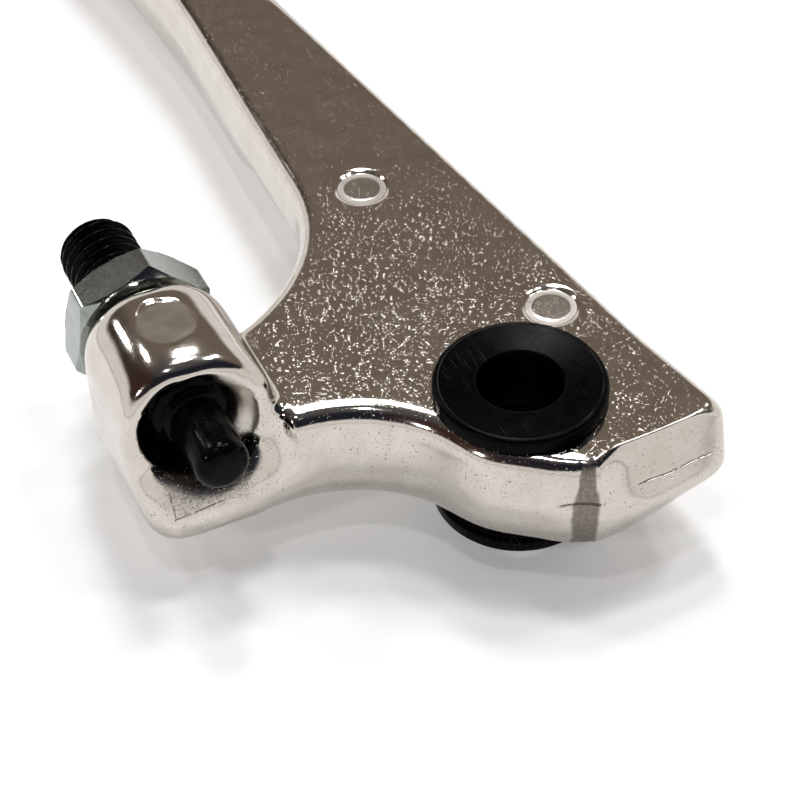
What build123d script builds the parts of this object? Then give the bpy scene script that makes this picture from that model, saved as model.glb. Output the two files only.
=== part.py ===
from build123d import *
import math
import os

# Left-hand clutch lever for an axial hydraulic master cylinder.
# Millimetres, +Z up along the pivot axis, origin in the middle of the pivot bore.
# +X points inboard, the way the adjuster's dog point pushes. The finger blade runs toward -X.
# +Y points forward, away from the rider.

# ---- pivot hub and lever plate -------------------------------------------------------
HUB_T = 8.8              # hub thickness between the two bush flanges
TOP_Z = HUB_T / 2
BOTTOM_Z = -4.75         # cast underside; the hub is spot-faced up to -HUB_T / 2
SPOTFACE_D = 14.0
PARTING_Z = 0.0          # height of the die's parting line
UPPER_DRAFT = 5.0        # degrees the walls lean in above the parting line
LOWER_DRAFT = 6.0        # degrees the walls lean in below it
HUB_R = 7.0              # hub radius round the pivot
THROAT_R = 9.5           # hollow front arc between hub and adjuster boss
REAR_ARC_R = 16.6        # hollow rear arc between boss and blade
REAR_ARC_X = -31.1
REAR_ARC_Y = -21.8
FRONT_Y = 11.6           # front wall's Y at X = 0
FRONT_SLOPE = 0.115      # front wall's rise toward the hub
END_X = 9.6              # inboard end wall at its lower corner
END_LOW_Y = 1.0
END_LEAN = 0.03          # end wall's lean, X lost per millimetre of Y
END_CORNER_R = 3.4
WITNESS_CORNER_R = 2.0   # vertical corner where end wall and hub meet
FOOT_CORNER_R = 2.6
REAR_CORNER_R = 1.95
REAR_WALL_TURN = 3.0     # degrees the blade's rear wall leans to the front
TOP_EDGE_R = 1.5
BOTTOM_EDGE_R = 1.4

# ---- underside hollow and ejector marks ----------------------------------------------
RELIEF_REACH = 3.6       # how far the hollow reaches in from the rear wall, at the bottom
RELIEF_TOP_Z = -0.6
RELIEF_SLOPE = 40.0
RELIEF_START_TURN = 34.0
RELIEF_END_X = -43.0
RELIEF_END_R = 3.0
EJECTOR_MARKS = ((-26.2, -0.1), (-7.1, 6.4))
MARK_D = 4.2
MARK_RING = 0.4
MARK_DEPTH = 0.16

# ---- adjuster boss -------------------------------------------------------------------
SCREW_Y = -21.5          # adjuster axis
SCREW_Z = 4.5
BOSS_LEFT_Y = -26.9
BOSS_RIGHT_Y = -15.8
BOSS_TOP_Z = 9.9
BOSS_REAR_X = -17.6      # face the lock nut bears on
FOOT_X = -3.9            # the foot's front wall, where the leaning boss front starts
FRONT_LOW_Z = -2.4       # height where the boss front starts to lean back
FRONT_LOW_LEAN = 28.0    # degrees it leans back below the mouth
FRONT_LEAN = 8.5         # degrees it leans back beside and above the mouth
FRONT_X = -6.65          # boss front at the screw's height
FRONT_YAW = 6.0          # degrees the front is turned toward the lever's left side
CROWN_R = 4.8            # rounding of the boss's upper corners
FRONT_LIP_R = 0.8
REAR_LIP_R = 2.4
MOUTH_D = 8.3
MOUTH_FACING_D = 9.2     # shallow facing cut round the mouth, which only meets the lower front
MOUTH_FACING_X = -5.9
MOUTH_FLOOR_X = -10.8    # bottom of the hollow mouth
MOUTH_FLOOR_R = 0.8
CROWN_MARK_X = -12.4
CROWN_MARK_Y = -21.3
CROWN_MARK_D = 4.6
TAPPED_D = 6.1           # tapped hole at the screw's major diameter, with running clearance

# ---- blade, hidden beyond the root, to usual lever proportions -----------------------
PLATE_END_X = -56.0
END_SPARE = 4.0          # plate is drawn this much longer, then cut square at PLATE_END_X
BALL_X = -160.0
BALL_Y = -7.9
BALL_D = 15.5
NECK_R = 3.0             # rounding where the blade runs into the ball
TOP_LEAN = (TOP_Z - PARTING_Z) * math.tan(math.radians(UPPER_DRAFT))
BOTTOM_LEAN = (PARTING_Z - BOTTOM_Z) * math.tan(math.radians(LOWER_DRAFT))
# x, middle y, width, top z, bottom z, corner radius
BLADE_STATIONS = [
    (-57.5, 0.60, 8.80, 4.40, -4.75, 1.4),
    (-68.0, 0.2, 8.6, 4.40, -4.70, 1.8),
    (-85.0, -0.8, 9.6, 4.40, -4.60, 2.6),
    (-108.0, -3.0, 11.2, 4.40, -4.50, 3.0),
    (-132.0, -5.6, 11.4, 4.30, -4.40, 3.0),
    (-150.0, -7.2, 10.2, 4.10, -4.30, 2.9),
    (-158.0, -7.8, 9.0, 3.80, -4.10, 2.8),
]

# ---- bushes --------------------------------------------------------------------------
BORE_D = 6.2
FLANGE_D = 12.5
FLANGE_T = 1.25
SLEEVE_D = 8.4
SLEEVE_L = 4.2
FLANGE_EDGE_R = 0.3

# ---- adjuster screw M6 x 1 and lock nut ----------------------------------------------
THREAD_D = 5.95
DOG_D = 3.95
DOG_TIP_X = -2.0
DOG_BASE_X = -7.7
SCREW_REAR_X = -29.0
SOCKET_AF = 3.0
SOCKET_DEPTH = 4.0
SHANK_CHAMFER = 0.7
DOG_EDGE_R = 0.6
NUT_AF = 10.0
NUT_T = 3.2
NUT_GAP = 0.05
NUT_HOLE_D = 6.1
NUT_CHAMFER = 0.9        # how far the turned corner reaches in from the hexagon's corners
NUT_TURN = 19.0          # degrees the nut's top flat leans toward -Y


def throat_centre():
    """Centre of the hollow arc that is tangent to the hub and to the foot's front wall."""
    x = FOOT_X + THROAT_R
    y = -math.sqrt((HUB_R + THROAT_R) ** 2 - x ** 2)
    return x, y


def on_circle(centre, radius, angle):
    """Point on a circle at an angle in degrees."""
    turn = math.radians(angle)
    return centre[0] + radius * math.cos(turn), centre[1] + radius * math.sin(turn)


def plate_outline():
    """Closed outline of hub, throat, boss foot, rear arc and blade root at the parting line."""
    throat = throat_centre()
    rear = (REAR_ARC_X, REAR_ARC_Y)
    left_y = BOSS_LEFT_Y
    right_y = BOSS_RIGHT_Y
    end_low = (END_X, END_LOW_Y)
    # the end wall runs tangent onto the hub circle
    reach = math.hypot(*end_low)
    hub_first = math.degrees(math.atan2(END_LOW_Y, END_X) - math.acos(HUB_R / reach))
    hub_last = math.degrees(math.atan2(throat[1], throat[0]))
    hub_start = on_circle((0, 0), HUB_R, hub_first)
    hub_mid = on_circle((0, 0), HUB_R, 0.5 * (hub_first + hub_last))
    hub_end = on_circle((0, 0), HUB_R, hub_last)
    throat_mid = on_circle(throat, THROAT_R, 0.5 * (180 + hub_last + 180))
    foot_top = (FOOT_X, throat[1])
    # the rear arc leaves the boss's side wall and runs tangent onto the blade's rear wall
    notch_turn = math.degrees(math.asin((right_y - REAR_ARC_Y) / REAR_ARC_R))
    notch = on_circle(rear, REAR_ARC_R, notch_turn)
    rear_last = 90 - REAR_WALL_TURN
    rear_mid = on_circle(rear, REAR_ARC_R, 0.5 * (notch_turn + rear_last))
    root = on_circle(rear, REAR_ARC_R, rear_last)
    far_x = PLATE_END_X - END_SPARE
    rise = (root[0] - far_x) * math.tan(math.radians(REAR_WALL_TURN))
    root_end = (far_x, root[1] + rise)
    front_end = (far_x, FRONT_Y + FRONT_SLOPE * far_x)
    end_high_y = FRONT_Y + FRONT_SLOPE * END_X
    end_high = (END_X - END_LEAN * (end_high_y - END_LOW_Y), end_high_y)
    edges = [
        Line(end_low, hub_start),
        ThreePointArc(hub_start, hub_mid, hub_end),
        ThreePointArc(hub_end, throat_mid, foot_top),
        Line(foot_top, (FOOT_X, left_y)),
        Line((FOOT_X, left_y), (BOSS_REAR_X, left_y)),
        Line((BOSS_REAR_X, left_y), (BOSS_REAR_X, right_y)),
        Line((BOSS_REAR_X, right_y), notch),
        ThreePointArc(notch, rear_mid, root),
        Line(root, root_end),
        Line(root_end, front_end),
        Line(front_end, end_high),
        Line(end_high, end_low),
    ]
    face = make_face(edges)
    rounds = [
        (end_high, END_CORNER_R),
        (end_low, WITNESS_CORNER_R),
        ((FOOT_X, left_y), FOOT_CORNER_R),
        ((BOSS_REAR_X, left_y), REAR_CORNER_R),
        ((BOSS_REAR_X, right_y), REAR_CORNER_R),
    ]
    for (x, y), radius in rounds:
        spot = Vector(x, y, 0)
        corner = face.vertices().sort_by_distance(spot)[0]
        face = fillet(corner, radius)
    return Face(face.faces()[0].outer_wire())


def rounded_outline_extrusion(height, direction, draft, edge_radius):
    """The outline extruded one way from the parting line, its far rim rounded."""
    outline = Pos(0, 0, PARTING_Z) * plate_outline()
    half = extrude(outline, height, dir=(0, 0, direction), taper=draft)
    half = half - Pos(PLATE_END_X - 10, 0, 0) * Box(20, 60, 30)
    rim_z = PARTING_Z + direction * height
    rim = half.edges().filter_by(lambda e: abs(e.center().Z - rim_z) < 0.01)
    rim = rim.filter_by(lambda e: e.center().X > PLATE_END_X + 1)
    return fillet(rim, edge_radius)


def drafted_plate():
    """Hub, web, boss foot and blade root, drafted both ways from the parting line."""
    upper = rounded_outline_extrusion(TOP_Z - PARTING_Z, 1, UPPER_DRAFT, TOP_EDGE_R)
    lower = rounded_outline_extrusion(PARTING_Z - BOTTOM_Z, -1, LOWER_DRAFT, BOTTOM_EDGE_R)
    return upper + lower


def boss_front():
    """Solid in front of the boss. Its rear side is the boss's front: steeper above than below."""
    low_slope = math.tan(math.radians(FRONT_LOW_LEAN))
    slope = math.tan(math.radians(FRONT_LEAN))
    # height where the two leaning planes meet
    upper_x = FRONT_X + slope * (SCREW_Z - FRONT_LOW_Z)
    bend_z = FRONT_LOW_Z + (FOOT_X - upper_x) / (low_slope - slope)
    bend_x = FOOT_X - low_slope * (bend_z - FRONT_LOW_Z)
    far_x = 30.0
    high_z = 40.0
    profile = Plane.XZ * make_face(Polyline(
        (FOOT_X, FRONT_LOW_Z), (far_x, FRONT_LOW_Z), (far_x, high_z),
        (bend_x - slope * (high_z - bend_z), high_z), (bend_x, bend_z), close=True))
    reach = BOSS_RIGHT_Y - SCREW_Y
    solid = extrude(Pos(0, -2 * reach, 0) * profile, 3 * reach, dir=(0, 1, 0))
    solid = Pos(FOOT_X, SCREW_Y, 0) * Rot(0, 0, -FRONT_YAW) * Pos(-FOOT_X, 0, 0) * solid
    side = Pos(0, BOSS_RIGHT_Y + 10, 0) * Box(80, 20, 100)
    return solid - side


def boss_block():
    """Arch-topped block round the adjuster, its crown rounded over front and back."""
    width = BOSS_RIGHT_Y - BOSS_LEFT_Y
    height = BOSS_TOP_Z - PARTING_Z
    middle = Vector(0, (BOSS_RIGHT_Y + BOSS_LEFT_Y) / 2, PARTING_Z + height / 2)
    section = Plane.YZ * Pos(middle.Y, middle.Z) * Rectangle(width, height)
    crown = section.vertices().filter_by(lambda v: v.Z > SCREW_Z)
    section = fillet(crown, CROWN_R)
    block = extrude(Pos(BOSS_REAR_X, 0, 0) * section, FOOT_X - BOSS_REAR_X, dir=(1, 0, 0))
    block = block - boss_front()
    rear = block.faces().sort_by(Axis.X)[0]
    outline = [edge for edge in rear.edges() if edge.center().Z > PARTING_Z + 0.01]
    block = fillet(outline, REAR_LIP_R)
    # round the front's rim, but not the bend between its two planes or the parting plane
    rim = []
    for face in block.faces().filter_by(lambda f: f.normal_at().X > 0.8):
        for edge in face.edges():
            across = abs(edge.tangent_at(0.5).Y) > 0.98 and edge.center().Z < SCREW_Z
            if not across:
                rim.append(edge)
    return fillet(rim, FRONT_LIP_R)


def blade_section(x, middle_y, width, top_z, bottom_z, corner_r):
    """Blade cross-section at one X: widest at the parting line, corners rounded."""
    half = width / 2
    outline = make_face(Polyline(
        (-half, PARTING_Z), (-half + BOTTOM_LEAN, bottom_z), (half - BOTTOM_LEAN, bottom_z),
        (half, PARTING_Z), (half - TOP_LEAN, top_z), (-half + TOP_LEAN, top_z), close=True))
    corners = outline.vertices().filter_by(lambda v: abs(v.Y - PARTING_Z) > 0.1)
    outline = fillet(corners, corner_r)
    return Plane(origin=(x, middle_y, 0), x_dir=(0, 1, 0), z_dir=(1, 0, 0)) * outline


def finger_blade(plate):
    """Blade from the plate's square end to the ball."""
    root = plate.faces().sort_by(Axis.X)[0]
    blade = loft([root] + [blade_section(*station).faces()[0] for station in BLADE_STATIONS])
    # the ball's seam faces away from the blade
    ball = Pos(BALL_X, BALL_Y, -0.2) * Rot(0, 0, 180) * Sphere(BALL_D / 2)
    blade = blade + ball
    neck = blade.edges().filter_by(lambda e: -BALL_D / 2 < BALL_X - e.center().X < -BALL_D / 4)
    return fillet(neck, NECK_R)


def rear_relief():
    """Hollow under the rear arc, its ceiling sloping down into the web."""
    rear = (REAR_ARC_X, REAR_ARC_Y)
    inner_r = REAR_ARC_R + RELIEF_REACH
    first = on_circle(rear, inner_r, RELIEF_START_TURN)
    middle = on_circle(rear, inner_r, 0.5 * (RELIEF_START_TURN + 90))
    last = on_circle(rear, inner_r, 90)
    wall_y = REAR_ARC_Y + REAR_ARC_R
    face = make_face([
        ThreePointArc(first, middle, last),
        Line(last, (RELIEF_END_X, last[1])),
        Line((RELIEF_END_X, last[1]), (RELIEF_END_X, wall_y - 8)),
        Line((RELIEF_END_X, wall_y - 8), (first[0] - 4, first[1] - 6)),
        Line((first[0] - 4, first[1] - 6), first),
    ])
    corner = face.vertices().sort_by_distance(Vector(RELIEF_END_X, last[1], 0))[0]
    face = fillet(corner, RELIEF_END_R)
    face = Pos(0, 0, BOTTOM_Z - 0.01) * Face(face.faces()[0].outer_wire())
    return extrude(face, RELIEF_TOP_Z - BOTTOM_Z, dir=(0, 0, 1), taper=RELIEF_SLOPE)


def ejector_mark(x, y):
    """Sunk ring and slightly lower disc a die's ejector pin leaves on the top face."""
    ring = Pos(x, y, TOP_Z - MARK_DEPTH / 2) * Cylinder(MARK_D / 2, MARK_DEPTH)
    disc = Pos(x, y, TOP_Z - MARK_DEPTH) * Cylinder(MARK_D / 2 - MARK_RING, MARK_DEPTH)
    return ring - disc


def screw_axis_cylinder(diameter, from_x, to_x):
    """Plain cylinder on the adjuster's axis."""
    length = to_x - from_x
    place = Pos((from_x + to_x) / 2, SCREW_Y, SCREW_Z) * Rot(0, 90, 0)
    return place * Cylinder(diameter / 2, length)


def circle_edge_at(body, x, diameter):
    """Rim of a round hole on the adjuster's axis."""
    length = math.pi * diameter
    rims = body.edges().filter_by(GeomType.CIRCLE)
    return rims.filter_by(lambda e: abs(e.center().X - x) < 0.01 and abs(e.length - length) < 0.01)


def lever_casting():
    """The whole casting with its machined holes."""
    plate = drafted_plate()
    body = plate - boss_front()
    body = body + boss_block()
    body = body + finger_blade(plate)
    body = body - rear_relief()
    body = body - Cylinder(SLEEVE_D / 2, 20)
    body = body - Pos(0, 0, -HUB_T / 2 - 1) * Cylinder(SPOTFACE_D / 2, 2)
    body = body - screw_axis_cylinder(MOUTH_D, MOUTH_FLOOR_X, 0)
    body = body - screw_axis_cylinder(MOUTH_FACING_D, MOUTH_FACING_X, 0)
    body = body - screw_axis_cylinder(TAPPED_D, BOSS_REAR_X - 1, MOUTH_FLOOR_X + 1)
    for x, y in EJECTOR_MARKS:
        body = body - ejector_mark(x, y)
    crown_mark = Pos(CROWN_MARK_X, CROWN_MARK_Y, BOSS_TOP_Z) * Cylinder(CROWN_MARK_D / 2, 0.16)
    body = body - crown_mark
    return fillet(circle_edge_at(body, MOUTH_FLOOR_X, MOUTH_D), MOUTH_FLOOR_R)


def flanged_bush(direction):
    """Press-in bush: a wide flange outside the hub and a sleeve in the hub's hole."""
    flange = Pos(0, 0, direction * (HUB_T / 2 + FLANGE_T / 2)) * Cylinder(FLANGE_D / 2, FLANGE_T)
    outer_z = direction * (HUB_T / 2 + FLANGE_T)
    rim = flange.edges().filter_by(lambda e: abs(e.center().Z - outer_z) < 0.01)
    flange = fillet(rim, FLANGE_EDGE_R)
    sleeve = Pos(0, 0, direction * (HUB_T / 2 - SLEEVE_L / 2)) * Cylinder(SLEEVE_D / 2, SLEEVE_L)
    return flange + sleeve - Cylinder(BORE_D / 2, 40)


def screw_axis_hexagon(across_flats, from_x, to_x, turn):
    """Hexagonal bar on the adjuster's axis, turned so many degrees from a flat facing up."""
    section = RegularPolygon(across_flats / 2, 6, major_radius=False, rotation=turn)
    bar = extrude(Plane.YZ * section, to_x - from_x, dir=(1, 0, 0))
    return Pos(from_x, SCREW_Y, SCREW_Z) * bar


def adjuster_screw():
    """Set screw with a long dog point and a hexagon socket in its rear end."""
    shank = screw_axis_cylinder(THREAD_D, SCREW_REAR_X, DOG_BASE_X)
    shank = chamfer(shank.edges().filter_by(GeomType.CIRCLE), SHANK_CHAMFER)
    dog = screw_axis_cylinder(DOG_D, DOG_BASE_X - 1, DOG_TIP_X)
    tip = dog.edges().filter_by(lambda e: abs(e.center().X - DOG_TIP_X) < 0.01)
    dog = fillet(tip, DOG_EDGE_R)
    socket = screw_axis_hexagon(SOCKET_AF, SCREW_REAR_X - 1, SCREW_REAR_X + SOCKET_DEPTH, 0)
    return shank + dog - socket


def lock_nut():
    """Thin hexagon nut behind the boss, its corners turned off on both faces."""
    front_x = BOSS_REAR_X - NUT_GAP
    rear_x = front_x - NUT_T
    hexagon = screw_axis_hexagon(NUT_AF, rear_x, front_x, NUT_TURN)
    corner_r = NUT_AF / 2 / math.cos(math.radians(30))
    turned = screw_axis_cylinder(2 * corner_r, rear_x, front_x)
    rims = turned.edges().filter_by(GeomType.CIRCLE)
    turned = chamfer(rims, NUT_CHAMFER * math.tan(math.radians(30)), NUT_CHAMFER)
    hole = screw_axis_cylinder(NUT_HOLE_D, rear_x - 1, front_x + 1)
    return (hexagon & turned) - hole


os.makedirs("parts", exist_ok=True)
nodes = {
    "lever_casting": lever_casting(),
    "upper_bush": flanged_bush(1),
    "lower_bush": flanged_bush(-1),
    "adjuster_screw": adjuster_screw(),
    "lock_nut": lock_nut(),
}
for name, shape in nodes.items():
    export_step(shape, f"parts/{name}.step")
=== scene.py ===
import math

import bmesh
import bpy
import numpy as np
from mathutils import Matrix, Vector

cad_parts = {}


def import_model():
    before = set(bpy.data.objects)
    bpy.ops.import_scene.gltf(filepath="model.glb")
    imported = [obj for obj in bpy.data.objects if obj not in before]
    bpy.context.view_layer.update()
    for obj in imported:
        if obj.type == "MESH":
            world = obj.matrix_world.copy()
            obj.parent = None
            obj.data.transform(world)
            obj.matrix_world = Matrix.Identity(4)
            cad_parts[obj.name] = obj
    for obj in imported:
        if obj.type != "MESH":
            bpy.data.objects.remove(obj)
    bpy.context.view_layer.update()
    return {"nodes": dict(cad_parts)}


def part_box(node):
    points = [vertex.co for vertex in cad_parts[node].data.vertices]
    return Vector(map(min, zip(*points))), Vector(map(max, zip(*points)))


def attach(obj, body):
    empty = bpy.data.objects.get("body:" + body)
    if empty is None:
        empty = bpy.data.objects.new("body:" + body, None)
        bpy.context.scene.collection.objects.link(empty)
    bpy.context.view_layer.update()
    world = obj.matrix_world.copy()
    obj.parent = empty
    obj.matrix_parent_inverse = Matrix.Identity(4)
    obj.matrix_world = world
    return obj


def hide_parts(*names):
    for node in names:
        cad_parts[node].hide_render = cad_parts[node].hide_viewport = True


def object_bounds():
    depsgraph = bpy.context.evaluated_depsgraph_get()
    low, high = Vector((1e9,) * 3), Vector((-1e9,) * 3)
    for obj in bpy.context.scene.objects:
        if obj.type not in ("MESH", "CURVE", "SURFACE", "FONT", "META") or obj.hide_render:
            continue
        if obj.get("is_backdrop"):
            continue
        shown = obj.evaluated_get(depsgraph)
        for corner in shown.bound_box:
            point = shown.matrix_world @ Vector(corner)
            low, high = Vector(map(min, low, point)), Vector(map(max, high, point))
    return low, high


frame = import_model()
MM = 0.001

# ---- places read from the frame --------------------------------------------------------
LEVER_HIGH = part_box("lever_casting")[1]
BUSH_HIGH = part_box("upper_bush")[1]
SCREW_LOW, SCREW_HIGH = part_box("adjuster_screw")
NUT_LOW, NUT_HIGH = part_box("lock_nut")
SCREW_AXIS = (SCREW_LOW + SCREW_HIGH) / 2
FLANGE_R = BUSH_HIGH.x
CROWN_Z = LEVER_HIGH.z

# ---- sizes of the casting, metres -------------------------------------------------------
TOP_Z = 4.4 * MM                # the plate's flat top face
FRONT_Y = 11.6 * MM             # front wall at X = 0, at the parting line
FRONT_SLOPE = 0.115
FRONT_LEAN = 0.88 * MM          # how far it leans in by the top
END_SIDE_X = 10.2 * MM          # end wall at the parting line
END_TOP_X = 7.8 * MM            # and at the top
END_TURN = 0.03                 # X lost per Y along the end wall
END_CORNER_R = 2.2 * MM         # corner of front and end walls, at the parting line
END_CORNER_TOP_R = 0.7 * MM
EJECTOR_MARKS = ((-26.2 * MM, -0.1 * MM), (-7.1 * MM, 6.4 * MM))
MARK_R = 1.95 * MM              # floor of an ejector mark
MARK_SHOULDER = 0.6 * MM        # width of the rounded step round it
MARK_DEPTH = 0.2 * MM
MARK_FINE_R = 2.9 * MM          # faces this near a mark's middle are split finer
CROWN_MARK = (-12.4 * MM, -21.3 * MM)
CROWN_MARK_R = 2.3 * MM
CROWN_MARK_DEPTH = 0.2 * MM
CROWN_FALL = 0.55 * MM          # how far the crown drops toward the mouth
END_BULGE = 18.0                # end wall's roundness seen from above, per metre
END_TOP_BULGE = 0.4             # share of that roundness left at the top
END_MID_Y = 6.5 * MM
END_FAR_Y = 12.4 * MM
FOOT_CORNER = (-4.9 * MM, -15.6 * MM)   # where the foot's front meets the throat
MOUTH_R = 4.15 * MM
MOUTH_FLARE = 0.95 * MM         # how far the mouth's inboard side narrows behind its lip
WITNESS_SPOT = (8.9 * MM, 0.5 * MM)     # where the end wall meets the hub
WITNESS_WAY = (0.5, 0.86)       # across the witness band, seen from above
WITNESS_HALF = 0.8 * MM         # half its width
WITNESS_REACH = 2.6 * MM        # the band stays this near the spot
WITNESS_DEPTH = 0.11 * MM

# ---- sizes of the fitted parts ----------------------------------------------------------
BORE_R = 3.1 * MM
SLEEVE_R = 4.2 * MM
FLANGE_T = 1.25 * MM
DOG_R = 1.975 * MM
DOG_TIP_R = 1.0 * MM            # rounding of the dog's tip
DOG_BASE_X = -7.7 * MM
THREAD_PITCH = 1.0 * MM
THREAD_DEPTH = 0.6 * MM
THREAD_CHAMFER = 0.7 * MM
RINGS_PER_TURN = 14             # of the thread
SOCKET_AF = 3.0 * MM
SOCKET_DEPTH = 4.0 * MM
NUT_AF = 10.0 * MM
NUT_HOLE_R = 3.05 * MM
NUT_TURN = math.radians(19)
NUT_TURNED_R = 5.05 * MM        # the chamfer starts at this radius
NUT_CHAMFER = math.radians(32)


# ---- mesh helpers -----------------------------------------------------------------------
def new_object(name, mesh):
    piece = bpy.data.objects.new(name, mesh)
    bpy.context.scene.collection.objects.link(piece)
    return piece


def smoothstep(low, high, value):
    t = np.clip((value - low) / (high - low), 0, 1)
    return t * t * (3 - 2 * t)


def finish_mesh(mesh, sharp_degrees):
    """Faces outward, smooth shading with edges sharper than an angle kept crisp."""
    bm = bmesh.new()
    bm.from_mesh(mesh)
    bmesh.ops.remove_doubles(bm, verts=bm.verts, dist=1e-7)
    bmesh.ops.recalc_face_normals(bm, faces=bm.faces)
    bm.to_mesh(mesh)
    bm.free()
    mesh.shade_smooth()
    mesh.set_sharp_from_angle(angle=math.radians(sharp_degrees))


def ring_skin(name, rings, axis, close_first, close_last):
    """A closed skin through rings of points; each ring is (height, radius) arrays over angle.

    axis is "X" for a piece on the adjuster's axis and "Z" for one on the pivot's."""
    count = len(rings[0][0])
    angles = np.arange(count) * 2 * math.pi / count
    verts = []
    for height, radius in rings:
        across = radius * np.cos(angles)
        up = radius * np.sin(angles)
        for h, a, b in zip(height, across, up):
            if axis == "X":
                verts.append((h, SCREW_AXIS.y + a, SCREW_AXIS.z + b))
            else:
                verts.append((a, b, h))
    faces = []
    for ring in range(len(rings) - 1):
        base = ring * count
        for i in range(count):
            j = (i + 1) % count
            faces.append((base + i, base + j, base + count + j, base + count + i))
    if close_first:
        faces.append(tuple(range(count)))
    if close_last:
        base = (len(rings) - 1) * count
        faces.append(tuple(range(base, base + count)))
    mesh = bpy.data.meshes.new(name)
    mesh.from_pydata(verts, [], faces)
    return mesh


def level_ring(height, radius, count):
    """A round ring at one height."""
    return np.full(count, height), np.full(count, radius)


def hexagon_radius(across_flats, turn, count, roundness=60.0):
    """Distance from a hexagon's middle to its side at each angle, corners slightly rounded."""
    angles = np.arange(count) * 2 * math.pi / count
    total = np.zeros(count)
    for k in range(3):
        normal = math.pi / 2 + turn + k * math.pi / 3
        total += np.abs(np.cos(angles - normal)) ** roundness
    return across_flats / 2 / total ** (1 / roundness)


# ---- the casting ------------------------------------------------------------------------
VOXEL = 0.255 * MM
THIN_OUT_X = -40 * MM           # blade beyond this carries fewer faces
KEPT_FACES = 0.56               # share of the whole casting's faces
BLADE_WEIGHT = 1000             # the thinning modifier's factor for the blade's group
# how many times each place is relaxed: more rounds make a softer edge
ROUNDS_ALL = 8
ROUNDS_LOW = 110
ROUNDS_BOSS = 12
ROUNDS_THROAT = 8
ROUNDS_END = 1
ROUNDS_FRONT_EDGE = 7
ROUNDS_END_LOW = 120
ROUNDS_HUB_CORNER = 30
ROUNDS_FOOT = 70
FAR_CORNER_LIFT = 0.64          # share of its depth that the underside's far corner loses


def neighbour_mean(points, pairs, degree):
    total = np.empty_like(points)
    for k in range(3):
        column = points[:, k]
        total[:, k] = np.bincount(pairs[:, 0], column[pairs[:, 1]], len(points))
        total[:, k] += np.bincount(pairs[:, 1], column[pairs[:, 0]], len(points))
    return total / degree[:, None]


def relax(points, pairs, degree, weight, rounds):
    """Moves each point toward its neighbours' middle, so edges round off where weight is high."""
    for _ in range(rounds):
        points += 0.5 * weight[:, None] * (neighbour_mean(points, pairs, degree) - points)
    return points


def read_points(mesh):
    points = np.empty(len(mesh.vertices) * 3)
    mesh.vertices.foreach_get("co", points)
    return points.reshape(-1, 3)


def apply_modifiers(piece):
    graph = bpy.context.evaluated_depsgraph_get()
    mesh = bpy.data.meshes.new_from_object(piece.evaluated_get(graph))
    piece.modifiers.clear()
    piece.data = mesh
    return mesh


def shape_end(points):
    """Crisp top edge along the front and end walls; the end wall swells toward mid-height.

    Returns how strongly each point was treated."""
    x, y, z = points.T
    height = np.clip(z / TOP_Z, 0, 1)
    end_x = END_SIDE_X + (END_TOP_X - END_SIDE_X) * height - END_TURN * y
    end_x -= END_BULGE * (y - END_MID_Y) ** 2 * (1 + (END_TOP_BULGE - 1) * height)
    front_lean = FRONT_LEAN * (1 - 1.2 * smoothstep(-3 * MM, 8 * MM, x))
    front_y = FRONT_Y + FRONT_SLOPE * x - front_lean * height
    inside_end = end_x - x
    inside_front = front_y - y
    radius = END_CORNER_R + (END_CORNER_TOP_R - END_CORNER_R) * height
    past_end = np.maximum(radius - inside_end, 0)
    past_front = np.maximum(radius - inside_front, 0)
    corner = (past_end > 0) & (past_front > 0)
    reach = np.maximum(np.hypot(past_end, past_front), 1e-9)
    end_nearer = inside_end < inside_front
    inside = np.where(corner, radius - reach, np.minimum(inside_end, inside_front))
    push_x = np.where(corner, past_end / reach, end_nearer)
    push_y = np.where(corner, past_front / reach, ~end_nearer)
    weight = np.where(end_nearer, smoothstep(0.4 * MM, 4.2 * MM, y), smoothstep(-56 * MM, -44 * MM, x))
    weight *= smoothstep(-3.6 * MM, 0.0, z)
    weight *= (inside < 2.3 * MM) & (inside > -1.5 * MM)
    below_top = TOP_Z - z
    to_top = (below_top < inside) & (z > 0)
    points[:, 2] += np.where(to_top, below_top * weight, 0)
    points[:, 0] += np.where(to_top, 0, inside * push_x * weight)
    points[:, 1] += np.where(to_top, 0, inside * push_y * weight)
    return weight


def press_witness(points):
    """Shallow upright band where the end wall was dressed back to the hub."""
    x, y, z = points.T
    across = (x - WITNESS_SPOT[0]) * WITNESS_WAY[0] + (y - WITNESS_SPOT[1]) * WITNESS_WAY[1]
    near = np.hypot(x - WITNESS_SPOT[0], y - WITNESS_SPOT[1]) < WITNESS_REACH
    band = near * smoothstep(WITNESS_HALF, WITNESS_HALF - 0.3 * MM, np.abs(across))
    band *= smoothstep(TOP_Z, TOP_Z - 0.5 * MM, z)
    points[:, 0] -= WITNESS_DEPTH * WITNESS_WAY[1] * band
    points[:, 1] += WITNESS_DEPTH * WITNESS_WAY[0] * band


def refine(mesh, middle, radius, above, cuts):
    """Splits the small faces round a spot so that fine relief can be pressed into them."""
    bm = bmesh.new()
    bm.from_mesh(mesh)
    spot = Vector(middle)
    near = {v for v in bm.verts if v.co.z > above and (v.co.xy - spot).length < radius}
    edges = [e for e in bm.edges if e.verts[0] in near and e.verts[1] in near]
    bmesh.ops.subdivide_edges(bm, edges=edges, cuts=cuts, use_grid_fill=True)
    bm.to_mesh(mesh)
    bm.free()


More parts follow.
